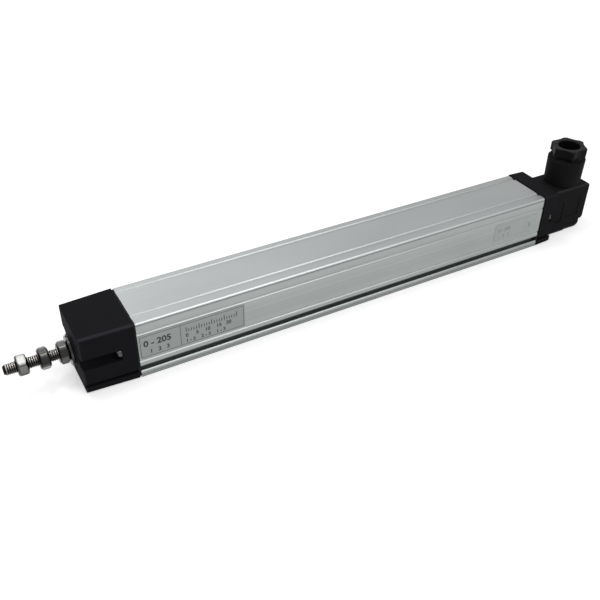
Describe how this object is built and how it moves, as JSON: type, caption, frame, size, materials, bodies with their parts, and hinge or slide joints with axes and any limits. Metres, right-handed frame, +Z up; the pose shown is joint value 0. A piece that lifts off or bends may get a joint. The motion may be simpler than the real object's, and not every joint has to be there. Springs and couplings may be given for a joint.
{
  "type": "linear potentiometer",
  "caption": "Linear potentiometer in a square aluminium profile, with a threaded pull rod at one end and a right-angle plug connector at the other.",
  "frame": {"origin": "middle of the housing's bottom face", "axes": "+X along the housing from the rod to the connector, -Y the labelled side, +Z up"},
  "size_m": [0.3547, 0.0336, 0.0538],
  "materials": {
    "anodised_aluminium": "satin anodised extrusion",
    "cap_plastic": "moulded, fine grain",
    "gasket_rubber": "matte",
    "screw_steel": "zinc plated",
    "bush_plastic": "self-lubricating, matte",
    "seal_rubber": "matte",
    "bumper_rubber": "matte",
    "rod_steel": "ground, bright thread",
    "outer_nut_steel": "zinc plated",
    "nut_steel": "zinc plated",
    "washer_steel": "plain",
    "carriage_plastic": "natural moulded",
    "clip_steel": "spring steel",
    "spring_steel": "spring steel, blued",
    "brush_metal": "precious metal alloy",
    "board_laminate": "glass fibre laminate",
    "carbon_track": "conductive plastic, smooth",
    "silver_track": "silver print",
    "terminal_brass": "tinned brass",
    "wire_insulation": "insulated wire",
    "base_plastic": "glass filled",
    "pin_metal": "tinned brass",
    "connector_plastic": "moulded, fine grain",
    "insert_plastic": "glass filled",
    "gland_plastic": "moulded, smooth",
    "ring_plastic": "slip ring",
    "type_label_film": "silver film, printed frame and plain numbers",
    "rear_label_film": "silver film, faint frame"
  },
  "bodies": {
    "housing": {"housing_extrusion": "anodised_aluminium", "front_cap": "cap_plastic", "front_gasket": "gasket_rubber", "front_cap_screws": "screw_steel", "rod_bushing": "bush_plastic", "rod_wiper_seal": "seal_rubber", "front_bumper": "bumper_rubber", "rear_cap": "cap_plastic", "rear_gasket": "gasket_rubber", "rear_cap_screws": "screw_steel", "rear_bumper": "bumper_rubber", "resistor_board": "board_laminate", "resistive_track": "carbon_track", "collector_track": "silver_track", "return_track": "silver_track", "board_terminals": "terminal_brass", "lead_wires": "wire_insulation", "connector_base": "base_plastic", "base_screws": "screw_steel", "connector_pins": "pin_metal", "connector_gasket": "gasket_rubber", "type_label": "type_label_film", "rear_label": "rear_label_film"},
    "carriage": {"wiper_carriage": "carriage_plastic", "swivel_clip": "clip_steel", "carriage_spring": "spring_steel", "wiper_brushes": "brush_metal"},
    "pull_rod": {"pull_rod": "rod_steel", "rod_outer_nut": "outer_nut_steel", "rod_middle_nut": "nut_steel", "rod_inner_nut": "nut_steel", "rod_washer": "washer_steel"},
    "connector": {"connector_housing": "connector_plastic", "terminal_insert": "insert_plastic", "socket_contacts": "pin_metal", "terminal_screws": "screw_steel", "fixing_screw": "screw_steel", "fixing_screw_seal": "seal_rubber", "gland_seal": "seal_rubber"},
    "gland_ring": {"gland_thrust_ring": "ring_plastic"},
    "gland_nut": {"gland_nut": "gland_plastic"}
  },
  "joints": [
    {"name": "carriage_slide", "type": "slide", "parent": "housing", "child": "carriage", "axis": [-1, 0, 0], "range_m": [0, 0.205]},
    {"name": "rod_swivel", "type": "hinge", "parent": "carriage", "child": "pull_rod", "pos_m": [0.09327, 0, 0.0165], "axis": [1, 0, 0], "continuous": true},
    {"name": "connector_unplug", "type": "slide", "parent": "housing", "child": "connector", "axis": [1, 0, 0], "range_m": [0, 0.02]},
    {"name": "gland_lift", "type": "slide", "parent": "connector", "child": "gland_ring", "axis": [0, 0, 1], "range_m": [0, 0.006]},
    {"name": "gland_nut_turn", "type": "hinge", "parent": "gland_ring", "child": "gland_nut", "pos_m": [0.1555, 0, 0.0465], "axis": [0, 0, 1], "range_deg": [0, 1440]}
  ],
  "couplings": [
    {"joint": "gland_nut_turn", "follows": "gland_lift", "rad_per_m": 4188.8}
  ]
}
